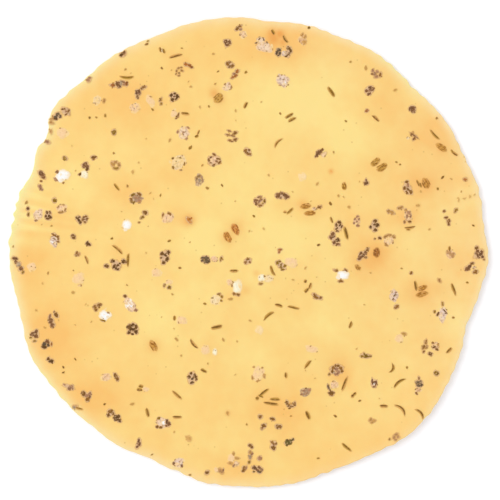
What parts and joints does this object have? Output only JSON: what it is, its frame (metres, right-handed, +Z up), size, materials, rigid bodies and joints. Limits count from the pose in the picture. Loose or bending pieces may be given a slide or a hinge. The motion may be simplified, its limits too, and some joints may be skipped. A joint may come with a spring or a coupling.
{
  "type": "papadum",
  "caption": "Thin round raw lentil wafer with crushed black pepper, cumin and husk pressed into its top face, lying flat with a slightly lifted rim.",
  "frame": {"origin": "on the surface that the wafer rests on, under the middle of its bounds", "axes": "+Z up out of the seasoned face, +X along the slightly longer way across the uneven round, +Y towards the top of the picture"},
  "size_m": [0.1808, 0.1772, 0.0031],
  "materials": {
    "dough": "dry rolled lentil dough, semi-matte and slightly waxy, mottled pale yellow to orange",
    "pepper_husk": "wrinkled dark brown to blue-black husk, dull",
    "pepper_kernel": "mealy white, cream or pinkish inside of a peppercorn",
    "cumin_seed": "ridged tan to orange-brown seed",
    "husk_sliver": "thin olive-brown splinter of husk"
  },
  "bodies": {
    "root": {"papadum": "dough"}
  },
  "joints": []
}
